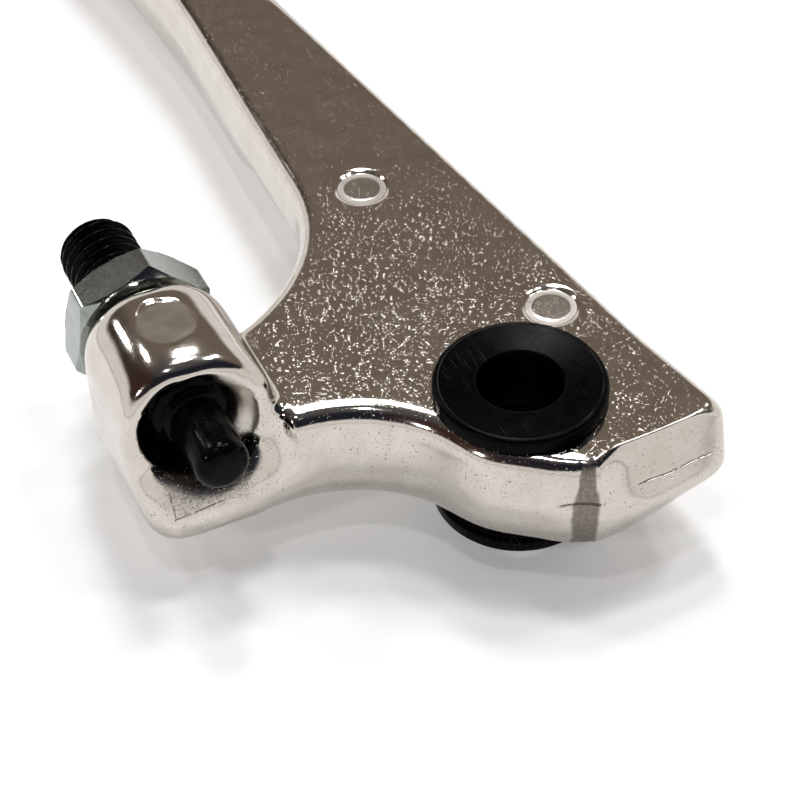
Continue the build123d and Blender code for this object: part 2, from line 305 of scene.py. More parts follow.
def press_marks(points):
    """Ejector-pin marks in the top face and the flat spot on the boss's crown."""
    x, y, z = points.T
    top = z > TOP_Z - 0.6 * MM
    for mark_x, mark_y in EJECTOR_MARKS:
        away = np.hypot(x - mark_x, y - mark_y)
        near = top & (z < TOP_Z + 1 * MM) & (away < MARK_R + MARK_SHOULDER + 0.3 * MM)
        sunk = np.clip((MARK_R + MARK_SHOULDER - away) / MARK_SHOULDER, 0, 1)
        inner = smoothstep(MARK_R * 0.78, MARK_R * 0.68, away)
        level = TOP_Z - MARK_DEPTH * sunk ** 2 + inner * 0.03 * MM
        z[near] = level[near]
    away_x = x - CROWN_MARK[0]
    away_y = y - CROWN_MARK[1]
    turn = np.arctan2(away_y, away_x)
    away = np.hypot(away_x, away_y) * (1 + 0.05 * np.sin(3 * turn + 1) + 0.03 * np.sin(7 * turn))
    level = CROWN_Z - CROWN_MARK_DEPTH
    over = np.where(z > 8 * MM, np.maximum(z - level, 0), 0)
    z -= 0.9 * over * smoothstep(CROWN_MARK_R + 0.2 * MM, CROWN_MARK_R - 0.05 * MM, away)


def soften_edges(points, pairs, degree):
    """Rounds every edge a little, and the lower half, the boss and the throat by their own wear."""
    x, y, z = points.T
    relax(points, pairs, degree, np.ones(len(points)), ROUNDS_ALL)
    # the lower half is rounded far more than the top, but not at the bush's seat
    low = 1 - smoothstep(-3.2 * MM, 1.2 * MM, z)
    low *= smoothstep(-60 * MM, -48 * MM, x)
    low *= smoothstep(5.6 * MM, 6.4 * MM, np.hypot(x, y))
    relax(points, pairs, degree, low, ROUNDS_LOW)
    boss = smoothstep(-14.5 * MM, -17.0 * MM, y) * smoothstep(-20 * MM, -17 * MM, x)
    relax(points, pairs, degree, boss, ROUNDS_BOSS)
    throat = smoothstep(7.4 * MM, 6.4 * MM, x) * smoothstep(2.0 * MM, 0.0, y)
    throat *= smoothstep(-22 * MM, -14 * MM, x)
    relax(points, pairs, degree, throat, ROUNDS_THROAT)


def soften_end(points, pairs, degree):
    """Shapes the end wall, then rounds its edges, its underside and its run into the hub."""
    treated = shape_end(points)
    x, y, z = points.T
    front_edge = treated * smoothstep(7.5 * MM, 5.0 * MM, x)
    relax(points, pairs, degree, treated, ROUNDS_END)
    relax(points, pairs, degree, front_edge, ROUNDS_FRONT_EDGE)
    end_low = smoothstep(3.5 * MM, 8 * MM, x) * smoothstep(1.0 * MM, 6 * MM, y)
    end_low *= smoothstep(0.6 * MM, -2.6 * MM, z)
    relax(points, pairs, degree, end_low, ROUNDS_END_LOW)
    far_corner = smoothstep(9.5 * MM, 1.0 * MM, np.hypot(x - END_SIDE_X, y - END_FAR_Y))
    points[:, 2] = np.where(z < 0, z * (1 - FAR_CORNER_LIFT * far_corner), z)
    from_hub = np.hypot(x - WITNESS_SPOT[0], y - WITNESS_SPOT[1] - 1.2 * MM)
    hub_corner = smoothstep(3.6 * MM, 1.8 * MM, from_hub) * smoothstep(4.2 * MM, 3.4 * MM, z)
    relax(points, pairs, degree, hub_corner, ROUNDS_HUB_CORNER)


def soften_foot(points, pairs, degree):
    """Runs the foot into the throat without a step."""
    x, y, z = points.T
    foot = smoothstep(3.2 * MM, 1.6 * MM, np.hypot(x - FOOT_CORNER[0], y - FOOT_CORNER[1]))
    relax(points, pairs, degree, foot * smoothstep(3.4 * MM, 1.8 * MM, z), ROUNDS_FOOT)


def flare_mouth(points):
    """Narrows the mouth behind its lip on the side next to the plate."""
    x, y, z = points.T
    side, up = y - SCREW_AXIS.y, z - SCREW_AXIS.z
    away = np.maximum(np.hypot(side, up), 1e-9)
    flare = MOUTH_FLARE * smoothstep(-6.7 * MM, -8.1 * MM, x) * smoothstep(-11.6 * MM, -10.4 * MM, x)
    flare *= (away > MOUTH_R - 0.65 * MM) * (away < MOUTH_R + 0.45 * MM) * smoothstep(0.1, 0.75, side / away)
    points[:, 1] -= flare * side / away
    points[:, 2] -= flare * up / away


def lower_crown(points):
    """Lets the boss's crown fall away toward the mouth."""
    x, y, z = points.T
    ahead = np.clip((x - CROWN_MARK[0]) / (5.2 * MM), 0, 1.3)
    points[:, 2] -= CROWN_FALL * ahead ** 2 * (y < -14.5 * MM) * smoothstep(5.5 * MM, 8.5 * MM, z)


def thin_out(piece, points):
    """Takes faces out of the blade, where the shape is plain, to keep within the export's limit."""
    blade = piece.vertex_groups.new(name="blade")
    blade.add(np.flatnonzero(points[:, 0] < THIN_OUT_X).tolist(), 1.0, "REPLACE")
    thin = piece.modifiers.new("thin_out", "DECIMATE")
    thin.ratio = KEPT_FACES
    thin.vertex_group = "blade"
    thin.vertex_group_factor = BLADE_WEIGHT
    mesh = apply_modifiers(piece)
    piece.vertex_groups.clear()
    return mesh


def polished_casting():
    """The CAD casting with its edges and inner corners worn soft, as by casting and buffing."""
    source = frame["nodes"]["lever_casting"]
    piece = new_object("polished_casting", source.data.copy())
    remesh = piece.modifiers.new("remesh", "REMESH")
    remesh.mode = "VOXEL"
    remesh.voxel_size = VOXEL
    mesh = apply_modifiers(piece)
    points = read_points(mesh)
    pairs = np.empty(len(mesh.edges) * 2, np.int64)
    mesh.edges.foreach_get("vertices", pairs)
    pairs = pairs.reshape(-1, 2)
    degree = np.bincount(pairs.ravel(), minlength=len(points)).astype(float)
    soften_edges(points, pairs, degree)
    soften_end(points, pairs, degree)
    soften_foot(points, pairs, degree)
    flare_mouth(points)
    lower_crown(points)
    press_witness(points)
    mesh.vertices.foreach_set("co", points.ravel())
    mesh = thin_out(piece, points)
    for middle in EJECTOR_MARKS:
        refine(mesh, middle, MARK_FINE_R, TOP_Z - 0.5 * MM, 2)
    refine(mesh, CROWN_MARK, MARK_FINE_R, CROWN_Z - 1.4 * MM, 1)
    points = read_points(mesh)
    press_marks(points)
    mesh.vertices.foreach_set("co", points.ravel())
    mesh.shade_smooth()
    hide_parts("lever_casting")
    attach(piece, "lever")
    return piece


# ---- bushes -----------------------------------------------------------------------------
def bush(name, node, side):
    """Flanged bush: satin face, rounded rim, small lead-in at the bore."""
    count = 160
    inner_z = side * 0.2 * MM
    seat_z = side * TOP_Z
    face_z = seat_z + side * FLANGE_T
    rim = 0.38 * MM
    rings = [level_ring(inner_z, BORE_R, count), level_ring(inner_z, SLEEVE_R, count)]
    rings.append(level_ring(seat_z, SLEEVE_R, count))
    rings.append(level_ring(seat_z, FLANGE_R - 0.2 * MM, count))
    rings.append(level_ring(seat_z + side * 0.15 * MM, FLANGE_R, count))
    for step in range(7):
        turn = step / 6 * math.pi / 2
        height = face_z - side * rim * (1 - math.sin(turn))
        rings.append(level_ring(height, FLANGE_R - rim * (1 - math.cos(turn)), count))
    # the face is a hair lower inside its rim, then leads in to the bore
    for depth, radius in ((0.0, FLANGE_R - 0.62 * MM), (0.04, FLANGE_R - 0.72 * MM),
                          (0.04, BORE_R + 0.3 * MM), (0.10, BORE_R + 0.08 * MM), (0.25, BORE_R)):
        rings.append(level_ring(face_z - side * depth * MM, radius, count))
    rings.append(rings[0])
    mesh = ring_skin(name, rings, "Z", False, False)
    finish_mesh(mesh, 28)
    piece = new_object(name, mesh)
    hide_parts(node)
    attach(piece, "lever")
    return piece


# ---- adjuster screw and nut -------------------------------------------------------------
def thread_radius(x, crest_r, depth, count):
    """Radius round the screw at one X: a right-hand thread with flat crests."""
    angles = np.arange(count) / count
    phase = (x / THREAD_PITCH - angles) % 1.0
    rise = 1 - np.abs(phase - 0.5) * 2
    cut = np.clip((rise - 0.14) / 0.74, 0, 1)
    cut = cut * (1 - 0.12 * (1 - cut))
    return crest_r - depth * cut


def threaded_screw():
    """Dog-point set screw with a real helical thread and a hexagon socket behind."""
    count = 96
    crest_r = (SCREW_HIGH.z - SCREW_LOW.z) / 2
    rear = SCREW_LOW.x
    tip = SCREW_HIGH.x
    socket_r = hexagon_radius(SOCKET_AF, 0.0, count, 80)
    rings = [
        (np.full(count, rear + SOCKET_DEPTH), socket_r * 0.02),
        (np.full(count, rear + SOCKET_DEPTH - 0.5 * MM), socket_r),
        (np.full(count, rear + 0.2 * MM), socket_r),
        (np.full(count, rear), socket_r + 0.18 * MM),
    ]
    end_r = crest_r - THREAD_CHAMFER
    total = int((DOG_BASE_X - rear) / (THREAD_PITCH / RINGS_PER_TURN))
    for i in range(total + 1):
        x = rear + (DOG_BASE_X - rear) * i / total
        limit = end_r + min(x - rear, DOG_BASE_X - x) * 0.9
        rings.append((np.full(count, x), np.minimum(thread_radius(x, crest_r, THREAD_DEPTH, count), limit)))
    rings.append(level_ring(DOG_BASE_X + 0.02 * MM, DOG_R + 0.12 * MM, count))
    rings.append(level_ring(DOG_BASE_X + 0.14 * MM, DOG_R, count))
    for i in range(1, 9):
        x = DOG_BASE_X + (tip - DOG_TIP_R - DOG_BASE_X) * i / 9
        rings.append(level_ring(x, DOG_R, count))
    for i in range(9):
        turn = i / 8 * math.pi / 2
        x = tip - DOG_TIP_R * (1 - math.sin(turn))
        rings.append(level_ring(x, DOG_R - DOG_TIP_R * (1 - math.cos(turn)), count))
    mesh = ring_skin("threaded_screw", rings, "X", True, True)
    finish_mesh(mesh, 40)
    piece = new_object("threaded_screw", mesh)
    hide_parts("adjuster_screw")
    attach(piece, "adjuster")
    return piece


def zinc_nut():
    """Thin lock nut with turned-off corners and a countersunk thread."""
    count = 240
    front = NUT_HIGH.x
    rear = NUT_LOW.x
    outer = hexagon_radius(NUT_AF, NUT_TURN, count)
    face_r = np.minimum(outer, NUT_TURNED_R)
    drop = np.maximum(outer - NUT_TURNED_R, 0) * math.tan(NUT_CHAMFER)
    soft = 0.09 * MM
    rings = []
    for x, inward in ((front, -1), (rear, 1)):
        side = [
            (np.full(count, x + inward * 0.45 * MM), np.full(count, NUT_HOLE_R)),
            (np.full(count, x), np.full(count, NUT_HOLE_R + 0.4 * MM)),
            (np.full(count, x), face_r - soft),
            (x + inward * soft * 0.3 + inward * drop * 0.1, face_r),
            (x + inward * (drop + soft * 0.3), outer - soft),
            (x + inward * (drop + soft * 1.2), outer),
        ]
        rings += side if inward < 0 else side[::-1]
    rings.append(rings[0])
    mesh = ring_skin("zinc_nut", rings, "X", False, False)
    finish_mesh(mesh, 24)
    piece = new_object("zinc_nut", mesh)
    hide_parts("lock_nut")
    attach(piece, "nut")
    return piece


# ---- materials --------------------------------------------------------------------------
FROM_ABOVE = (1, 1, 0)          # for distances as seen from above
ALONG_SCREW = (0, 1, 1)         # and as seen along the adjuster
FLECKED_SPOT = (-7.0, -11.0, 4.4)       # mm, where the flecks are thickest
ALLOY_TONES = ((0.565, 0.525, 0.480, 1), (0.625, 0.590, 0.550, 1))
DRESSED_TONES = ((0.085, 0.07, 0.06, 1), (0.19, 0.165, 0.14, 1))
# painted highlight: the flecks' lighter tint stands for the light they catch; their duller polish and relief
# are real
FLECK_HIGHLIGHT_TONE = (0.85, 0.82, 0.78, 1)
# painted shade inside the casting's pits
PIT_SHADE_TONE = (0.13, 0.12, 0.10, 1)
RING_TONE = (0.75, 0.73, 0.70, 1)
DISC_TONE = (0.42, 0.39, 0.36, 1)
CROWN_TONE = (0.72, 0.69, 0.66, 1)
GRAIN_TONE = (0.22, 0.2, 0.17, 1)
SCAR_TONE = (0.10, 0.085, 0.07, 1)
# painted shade for the inside of the adjuster's mouth
DEEP_SHADE_TONE = (0.02, 0.018, 0.016, 1)
BUSH_TONES = ((0.0007, 0.0008, 0.0010, 1), (0.0018, 0.0020, 0.0024, 1))
# scratches and rubbing on the bushes, and the painted highlight along the flange's rim
BUSH_WEAR_AND_HIGHLIGHT_TONE = (0.08, 0.08, 0.08, 1)
OXIDE_TONES = ((0.0012, 0.0011, 0.0011, 1), (0.004, 0.0037, 0.0037, 1))
ZINC_TONES = ((0.29, 0.325, 0.308, 1), (0.36, 0.385, 0.368, 1))
class Nodes:
    """A material's node tree with short calls for the nodes used here. Lengths are in mm."""

    def __init__(self, name):
        self.material = bpy.data.materials.new(name)
        self.material.use_nodes = True
        self.tree = self.material.node_tree
        self.shader = self.tree.nodes["Principled BSDF"]
        coordinates = self.tree.nodes.new("ShaderNodeTexCoord")
        scale = self.tree.nodes.new("ShaderNodeVectorMath")
        scale.operation = "SCALE"
        scale.inputs["Scale"].default_value = 1 / MM
        self.tree.links.new(coordinates.outputs["Object"], scale.inputs[0])
        self.place = scale.outputs[0]

    def link(self, source, target):
        self.tree.links.new(source, target)

    def put(self, target, value):
        if isinstance(value, bpy.types.NodeSocket):
            self.link(value, target)
        else:
            target.default_value = value

    def noise(self, scale, detail=2.0, roughness=0.5, distortion=0.0, place=None, shift=0.0):
        node = self.tree.nodes.new("ShaderNodeTexNoise")
        node.noise_dimensions = "4D" if shift else "3D"
        if shift:
            node.inputs["W"].default_value = shift
        node.inputs["Scale"].default_value = scale
        node.inputs["Detail"].default_value = detail
        node.inputs["Roughness"].default_value = roughness
        node.inputs["Distortion"].default_value = distortion
        self.link(place or self.place, node.inputs["Vector"])
        return node.outputs["Fac"]

    def cells(self, scale, feature="F1", place=None):
        node = self.tree.nodes.new("ShaderNodeTexVoronoi")
        node.feature = feature
        node.inputs["Scale"].default_value = scale
        self.link(place or self.place, node.inputs["Vector"])
        return node

    def math(self, operation, a, b=0.0, clamp=False):
        node = self.tree.nodes.new("ShaderNodeMath")
        node.operation = operation
        node.use_clamp = clamp
        self.put(node.inputs[0], a)
        self.put(node.inputs[1], b)
        return node.outputs[0]

    def ramp(self, value, low, high, from_value=0.0, to_value=1.0):
        """Smooth step of value from low to high."""
        node = self.tree.nodes.new("ShaderNodeMapRange")
        node.interpolation_type = "SMOOTHSTEP"
        self.put(node.inputs["Value"], value)
        node.inputs["From Min"].default_value = low
        node.inputs["From Max"].default_value = high
        node.inputs["To Min"].default_value = from_value
        node.inputs["To Max"].default_value = to_value
        return node.outputs["Result"]

    def mix(self, factor, a, b):
        node = self.tree.nodes.new("ShaderNodeMix")
        node.data_type = "RGBA"
        self.put(node.inputs["Factor"], factor)
        self.put(node.inputs["A"], a)
        self.put(node.inputs["B"], b)
        return node.outputs["Result"]

    def parts(self, vector):
        node = self.tree.nodes.new("ShaderNodeSeparateXYZ")
        self.link(vector, node.inputs[0])
        return node.outputs

    def stretch(self, x, y, z, turn=(0, 0, 0)):
        node = self.tree.nodes.new("ShaderNodeMapping")
        node.inputs["Scale"].default_value = (x, y, z)
        node.inputs["Rotation"].default_value = turn
        self.link(self.place, node.inputs["Vector"])
        return node.outputs[0]

    def distance(self, point, keep=None):
        """Distance from a point given in mm; a zero in keep leaves that direction out."""
        place = self.place
        if keep:
            squash = self.tree.nodes.new("ShaderNodeVectorMath")
            squash.operation = "MULTIPLY"
            squash.inputs[1].default_value = keep
            self.link(place, squash.inputs[0])
            place = squash.outputs[0]
        node = self.tree.nodes.new("ShaderNodeVectorMath")
        node.operation = "DISTANCE"
        self.link(place, node.inputs[0])
        node.inputs[1].default_value = point
        return node.outputs["Value"]

    def bump(self, height, distance_mm, strength=1.0, normal=None):
        node = self.tree.nodes.new("ShaderNodeBump")
        node.inputs["Strength"].default_value = strength
        node.inputs["Distance"].default_value = distance_mm * MM
        self.link(height, node.inputs["Height"])
        if normal is not None:
            self.link(normal, node.inputs["Normal"])
        return node.outputs["Normal"]

    def facing_up(self):
        """1 on faces that look straight up or down in the part's own frame."""
        node = self.tree.nodes.new("ShaderNodeTexCoord")
        up = self.parts(node.outputs["Normal"])[2]
        return self.ramp(self.math("ABSOLUTE", up), 0.93, 0.99)


def band(m, value, middle, half, soft):
    """1 within half of the middle, falling off over soft."""
    away = m.math("ABSOLUTE", m.math("SUBTRACT", value, middle))
    return m.ramp(away, half + soft / 2, half - soft / 2)


def product(m, *values):
    result = values[0]
    for value in values[1:]:
        result = m.math("MULTIPLY", result, value)
    return result


def highest(m, *values):
    result = values[0]
    for value in values[1:]:
        result = m.math("MAXIMUM", result, value)
    return result


def fleck_mask(m, flat, z):
    """Short curly flecks on the flat top, thicker toward the boss and the hub."""
    layers = []
    for scale, shift in ((1.8, 5.1), (2.9, 13.4)):
        cells = m.cells(scale)
        arc = band(m, cells.outputs["Distance"], 0.30, 0.045, 0.06)
        broken = m.ramp(m.noise(scale * 1.3, 1.0, 0.5, 0.0, shift=shift), 0.48, 0.54)
        chosen = m.ramp(m.parts(cells.outputs["Color"])[0], 0.30, 0.33)
        layers.append(product(m, arc, broken, chosen))
    patches = m.ramp(m.noise(0.2, 2.0, 0.5, 0.0, shift=7.7), 0.36, 0.60, 0.5, 1.0)
    dense = m.ramp(m.distance(FLECKED_SPOT), 8.0, 32.0, 1.0, 0.15)
    on_top = band(m, z, TOP_Z / MM, 0.35, 0.2)
    return product(m, highest(m, *layers), patches, dense, flat, on_top)


def pit_mask(m):
    """Small casting pits; their dark colour is painted shade inside them."""
    layers = []
    for scale, size, share in ((1.7, 0.13, 0.42), (3.0, 0.15, 0.45), (4.8, 0.2, 0.45)):
        cells = m.cells(scale)
        dot = m.ramp(cells.outputs["Distance"], size, size * 0.4)
        chosen = m.ramp(m.parts(cells.outputs["Color"])[0], share, share + 0.03)
        layers.append(product(m, dot, chosen))
    gathered = m.ramp(m.noise(0.35, 2.0, 0.5, 0.0, shift=1.3), 0.38, 0.58, 0.3, 1.0)
    return product(m, highest(m, *layers), gathered)


def worn_edges(m, x, y, z):
    """Thin, broken, rubbed lines along the crisp top edges of the front and end walls."""
    front_y = m.math("ADD", (FRONT_Y - FRONT_LEAN) / MM - 0.1, m.math("MULTIPLY", x, FRONT_SLOPE))
    front = product(m, band(m, m.math("SUBTRACT", y, front_y), 0.0, 0.08, 0.1), m.ramp(x, -1.5, -4.0))
    from_middle = m.math("SUBTRACT", y, END_MID_Y / MM)
    bulge = m.math("MULTIPLY", m.math("POWER", from_middle, 2.0), END_BULGE * MM * END_TOP_BULGE)
    end_x = m.math("SUBTRACT", END_TOP_X / MM - 0.05, m.math("ADD", m.math("MULTIPLY", y, END_TURN), bulge))
    end = product(m, band(m, m.math("SUBTRACT", x, end_x), 0.0, 0.07, 0.08), m.ramp(y, 2.8, 3.6))
    broken = m.ramp(m.noise(1.6, 2.0, 0.6, 0.0, shift=16.0), 0.36, 0.52, 0.1, 1.0)
    return product(m, highest(m, front, end), broken, m.ramp(z, 3.9, 4.1))


def witness_masks(m, x, y, z):
    """The dressed band at the end wall's corner, and the parting-line scars beside it."""
    spot_x, spot_y = WITNESS_SPOT[0] / MM, WITNESS_SPOT[1] / MM
    across = m.math("ADD", m.math("MULTIPLY", m.math("SUBTRACT", x, spot_x), WITNESS_WAY[0]),
                    m.math("MULTIPLY", m.math("SUBTRACT", y, spot_y), WITNESS_WAY[1]))
    wobble = m.math("MULTIPLY", m.math("SUBTRACT", m.noise(0.9, 2.0, 0.5, 0.0, shift=6.6), 0.5), 0.5)
    across = m.math("ADD", across, wobble)
    reach = WITNESS_REACH / MM
    near = m.ramp(m.distance((spot_x, spot_y, 0), keep=FROM_ABOVE), reach, reach - 0.3)
    narrowed = m.math("MULTIPLY", across, m.ramp(z, 0.6, 4.4, 0.9, 1.6))
    upright = product(m, band(m, narrowed, 0.0, WITNESS_HALF / MM, 0.3), near, m.ramp(z, 4.35, 4.0))
    # an arched scar across the band at the parting line, trailing off along the hub
    arch = m.math("SUBTRACT", 1.15, m.math("MULTIPLY", m.math("MULTIPLY", across, across), 0.14))
    arch = band(m, m.math("SUBTRACT", z, arch), 0.0, 0.10, 0.1)
    arch = product(m, arch, m.ramp(across, -2.3, -1.5), m.ramp(across, 1.1, 0.9), m.ramp(x, 6.6, 7.2))
    # a thin broken line along the end wall
    rise = m.math("ADD", 1.55, m.math("MULTIPLY", m.math("SUBTRACT", m.noise(0.5, 1.0, shift=8.8), 0.5), 0.5))
    line = band(m, m.math("SUBTRACT", z, rise), 0.0, 0.05, 0.06)
    broken = m.ramp(m.noise(1.2, 2.0, 0.5, 0.0, shift=5.0), 0.40, 0.48)
    line = product(m, line, broken, m.ramp(x, 7.0, 8.0), m.ramp(y, 4.2, 5.2), m.ramp(y, 11.5, 10.4))
    return upright, arch, line


FOOT_PATCH = (-21.9, 0.1)       # mm, middle of the foot's grainy patch in Y and Z
FOOT_PATCH_HALF = (3.0, 1.6)
FLASH_TURN_Y = -24.65           # mm, where the foot's flash line turns upright


def foot_masks(m, x, y, z):
    """Grainy patch on the foot's front and the thin flash line round its lower corner."""
    on_front = m.ramp(x, -7.4, -6.4)
    patch = product(m, band(m, y, FOOT_PATCH[0], FOOT_PATCH_HALF[0], 0.9),
                    band(m, z, FOOT_PATCH[1], FOOT_PATCH_HALF[1], 0.7), on_front)
    low = m.math("ADD", 1.95, m.math("MULTIPLY", y, 0.142))
    level = product(m, band(m, m.math("SUBTRACT", z, low), 0.0, 0.045, 0.05),
                    m.ramp(y, FLASH_TURN_Y - 0.25, FLASH_TURN_Y + 0.05), m.ramp(y, -21.0, -21.4))
    upright = product(m, band(m, y, FLASH_TURN_Y, 0.045, 0.05), band(m, z, -0.5, 1.0, 0.2))
    broken = m.ramp(m.noise(2.2, 2.0, 0.5, 0.0, shift=14.0), 0.40, 0.50, 0.15, 0.75)
    return patch, product(m, highest(m, level, upright), on_front, broken)


def polished_alloy():
    m = Nodes("polished_alloy")
    x, y, z = m.parts(m.place)
    flat = m.facing_up()
    flecks = fleck_mask(m, flat, z)
    pits = pit_mask(m)
    pits = product(m, pits, m.ramp(z, 7.5, 4.5), m.math("SUBTRACT", 1.0, m.math("MULTIPLY", flat, 0.8)))
    # ejector marks: a pale dull ring round a greyer middle
    ring = None
    disc = None
    mark_r = MARK_R / MM
    for mark_x, mark_y in EJECTOR_MARKS:
        away = m.distance((mark_x / MM, mark_y / MM, 0), keep=FROM_ABOVE)
        edge = m.ramp(away, mark_r - 0.6, mark_r - 0.45)
        edge = m.math("MULTIPLY", edge, m.ramp(away, mark_r + 0.01, mark_r - 0.05))
        inner = m.ramp(away, mark_r - 0.4, mark_r - 0.6)
        flecks = m.math("MULTIPLY", flecks, m.ramp(away, mark_r + 0.15, mark_r + 0.55))
        ring = edge if ring is None else highest(m, ring, edge)
        disc = inner if disc is None else highest(m, disc, inner)
    # the flat spot on the boss's crown, a little duller than the rest
    away = m.distance((CROWN_MARK[0] / MM, CROWN_MARK[1] / MM, 0), keep=FROM_ABOVE)
    crown = product(m, m.ramp(away, CROWN_MARK_R / MM, CROWN_MARK_R / MM - 0.25), m.ramp(z, 8.0, 8.8))
    on_top = band(m, z, TOP_Z / MM - 0.1, 0.4, 0.1)
    ring = product(m, ring, on_top)
    disc = product(m, disc, on_top)
    witness, arch, line = witness_masks(m, x, y, z)
    patch, flash = foot_masks(m, x, y, z)
    edges = worn_edges(m, x, y, z)
    grain = m.noise(4.5, 4.0, 0.7, 0.3, shift=12.0)
    # painted shade deep in the mouth round the screw, where light doesn't reach; the same stretch is also
    # made rougher
    bore_away = m.distance((0, SCREW_AXIS.y / MM, SCREW_AXIS.z / MM), keep=ALONG_SCREW)
    in_bore = m.ramp(bore_away, MOUTH_R / MM + 0.3, MOUTH_R / MM + 0.05)
    deep_shade = product(m, m.ramp(x, -8.6, -9.6), in_bore, m.ramp(x, -17.4, -17.0))
    cut = product(m, in_bore, m.ramp(z, 2.0, 3.0), m.ramp(y, -20.5, -19.5))
    # colour
    tone = m.noise(0.5, 3.0, 0.6, 0.3, shift=4.4)
    colour = m.mix(m.ramp(tone, 0.3, 0.7), *ALLOY_TONES)
    dressed = m.mix(m.ramp(grain, 0.35, 0.65), *DRESSED_TONES)
    grainy_patch = product(m, patch, m.ramp(grain, 0.4, 0.6))
    scars = highest(m, arch, line, flash)
    # flecks: their lighter tint is a painted highlight
    # pits: their dark tint is painted shade
    for mask, share, coat in ((flecks, 0.48, FLECK_HIGHLIGHT_TONE), (pits, 0.7, PIT_SHADE_TONE), (ring, 0.3, RING_TONE),
                              (disc, 0.5, DISC_TONE), (crown, 0.5, CROWN_TONE), (witness, 0.85, dressed),
                              (grainy_patch, 0.55, GRAIN_TONE), (scars, 0.75, SCAR_TONE)):
        colour = m.mix(m.math("MULTIPLY", mask, share), colour, coat)
    # painted shade: the mouth's inner wall darkened deep round the screw
    colour = m.mix(deep_shade, colour, DEEP_SHADE_TONE)
    m.link(colour, m.shader.inputs["Base Color"])
    m.shader.inputs["Metallic"].default_value = 1.0
    # roughness: polished, duller in flecks, marks and pits
    rough = m.ramp(m.noise(0.35, 4.0, 0.6, 0.5, shift=9.2), 0.3, 0.75, 0.07, 0.125)
    for mask, share in ((flecks, 0.13), (pits, 0.25), (ring, 0.20), (disc, 0.08), (crown, 0.08),
                        (witness, 0.24), (patch, 0.16), (scars, 0.3), (deep_shade, 0.4), (cut, 0.2), (edges, 0.3)):
        rough = m.math("ADD", rough, m.math("MULTIPLY", mask, share))
    m.link(m.math("MINIMUM", rough, 0.8), m.shader.inputs["Roughness"])
    # relief
    wave = m.bump(m.noise(0.22, 2.0, 0.5, 0.0, shift=2.2), 0.10, 0.3)
    orange = m.bump(m.noise(2.4, 3.0, 0.6, 0.4, shift=5.1), 0.010, 0.45, wave)
    marked = m.bump(flecks, 0.0115, 0.8, orange)
    dull = highest(m, ring, disc, witness, patch)
    grainy = m.bump(product(m, grain, dull), 0.04, 0.5, marked)
    pitted = m.bump(m.math("SUBTRACT", 1.0, highest(m, pits, scars)), 0.06, 0.9, grainy)
    m.link(pitted, m.shader.inputs["Normal"])
    return m.material


def bush_plastic():
    m = Nodes("bush_plastic")
    mottled = m.noise(0.9, 4.0, 0.65, 0.6)
    marks = []
    for index, turn in enumerate((0.3, 1.2, 2.1, 2.8)):
        lines = m.noise(1.0, 1.0, 0.4, 0.3, m.stretch(0.35, 9.0, 1.0, (0, 0, turn)), 1.7 + index)
        marks.append(m.ramp(lines, 0.70, 0.76))
    specks = m.cells(2.6)
    marks.append(product(m, m.ramp(specks.outputs["Distance"], 0.14, 0.06),
                         m.ramp(m.parts(specks.outputs["Color"])[1], 0.84, 0.87)))
    patches = m.ramp(m.noise(0.3, 2.0, 0.5, 0.0, shift=4.0), 0.45, 0.62, 0.1, 1.0)
    worn = product(m, highest(m, *marks), patches)
    # painted highlight: a lighter line along the flange's rim edge; the bore's mouth is rubbed lighter
    away = m.distance((0, 0, 0), keep=FROM_ABOVE)
    rim = band(m, away, FLANGE_R / MM - 0.42, 0.05, 0.08)
    mouth = m.math("MULTIPLY", band(m, away, BORE_R / MM + 0.12, 0.04, 0.08), 0.3)
    uneven = m.ramp(m.noise(0.5, 2.0, 0.5, 0.0, shift=9.0), 0.4, 0.6, 0.25, 1.0)
    rubbed = product(m, highest(m, rim, mouth), uneven)
    # worn now also carries the painted highlight along the rim
    worn = highest(m, worn, rubbed)
    base = m.mix(m.ramp(mottled, 0.35, 0.7), *BUSH_TONES)
    base = m.mix(m.math("MULTIPLY", worn, 0.3), base, BUSH_WEAR_AND_HIGHLIGHT_TONE)
    m.link(base, m.shader.inputs["Base Color"])
    m.link(m.ramp(mottled, 0.3, 0.75, 0.24, 0.32), m.shader.inputs["Roughness"])
    grain = m.bump(m.noise(5.0, 3.0, 0.6), 0.008, 0.4)
    m.link(m.bump(worn, 0.02, 0.5, grain), m.shader.inputs["Normal"])
    m.shader.inputs["Specular IOR Level"].default_value = 0.03
    return m.material


def black_oxide():
    m = Nodes("black_oxide_steel")
    mottled = m.noise(1.4, 4.0, 0.6, 0.5)
    base = m.mix(m.ramp(mottled, 0.35, 0.7), *OXIDE_TONES)
    m.link(base, m.shader.inputs["Base Color"])
    m.link(m.ramp(mottled, 0.3, 0.75, 0.12, 0.20), m.shader.inputs["Roughness"])
    m.shader.inputs["Specular IOR Level"].default_value = 0.05
    m.link(m.bump(m.noise(6.0, 3.0, 0.6), 0.008, 0.5), m.shader.inputs["Normal"])
    return m.material


def zinc_plate():
    m = Nodes("zinc_steel")
    blotch = m.noise(0.8, 5.0, 0.7, 0.8)
    fine = m.noise(5.0, 3.0, 0.6, 0.2, shift=2.0)
    base = m.mix(m.ramp(blotch, 0.3, 0.7), *ZINC_TONES)
    m.link(base, m.shader.inputs["Base Color"])
    m.shader.inputs["Metallic"].default_value = 1.0
    m.link(m.ramp(fine, 0.3, 0.7, 0.12, 0.19), m.shader.inputs["Roughness"])
    lines = m.noise(1.0, 2.0, 0.5, 0.0, m.stretch(0.6, 5.0, 5.0), 6.0)
    rough = m.bump(lines, 0.006, 0.3)
    m.link(m.bump(fine, 0.004, 0.35, rough), m.shader.inputs["Normal"])
    return m.material


def dress(piece, material):
    piece.data.materials.clear()
    piece.data.materials.append(material)


